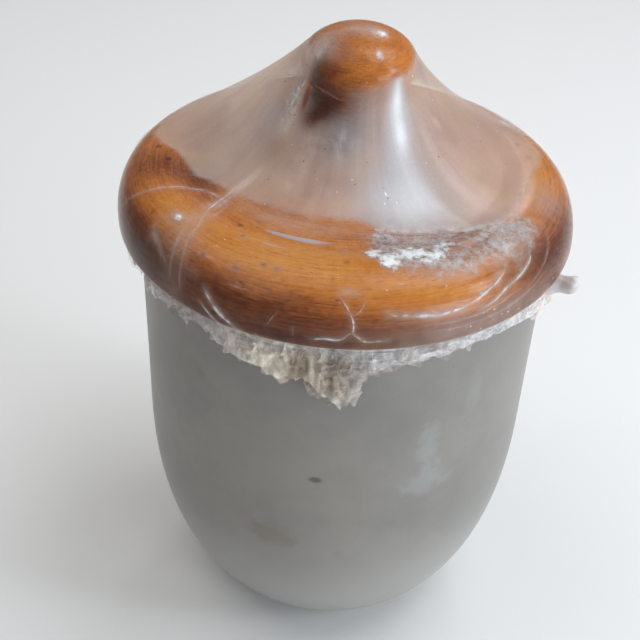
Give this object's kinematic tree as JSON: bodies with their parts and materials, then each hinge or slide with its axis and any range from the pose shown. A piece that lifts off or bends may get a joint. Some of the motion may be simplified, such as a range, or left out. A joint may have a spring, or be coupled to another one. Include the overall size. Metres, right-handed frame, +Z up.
{
  "type": "lidded pot",
  "caption": "Round-bottomed stoneware pot with a loose knobbed lid, its lid wrapped in stretched cling film gathered under the rim.",
  "frame": {"origin": "centre of the flat foot, on the surface that the pot stands on", "axes": "+Z up the turning axis of jar and lid; -Y towards the side that the picture shows, with the hanging film tag; +X to that view's right"},
  "size_m": [0.1168, 0.1168, 0.1706],
  "materials": {
    "body_glaze": "satin",
    "lid_glaze": "gloss",
    "film": "gloss"
  },
  "bodies": {
    "pot": {"pot_body": "body_glaze"},
    "lid": {"lid": "lid_glaze", "film_wrap": "film"}
  },
  "joints": [
    {"name": "lid_lift", "type": "slide", "parent": "pot", "child": "lid", "axis": [0, 0, 1], "range_m": [0, 0.1]}
  ]
}
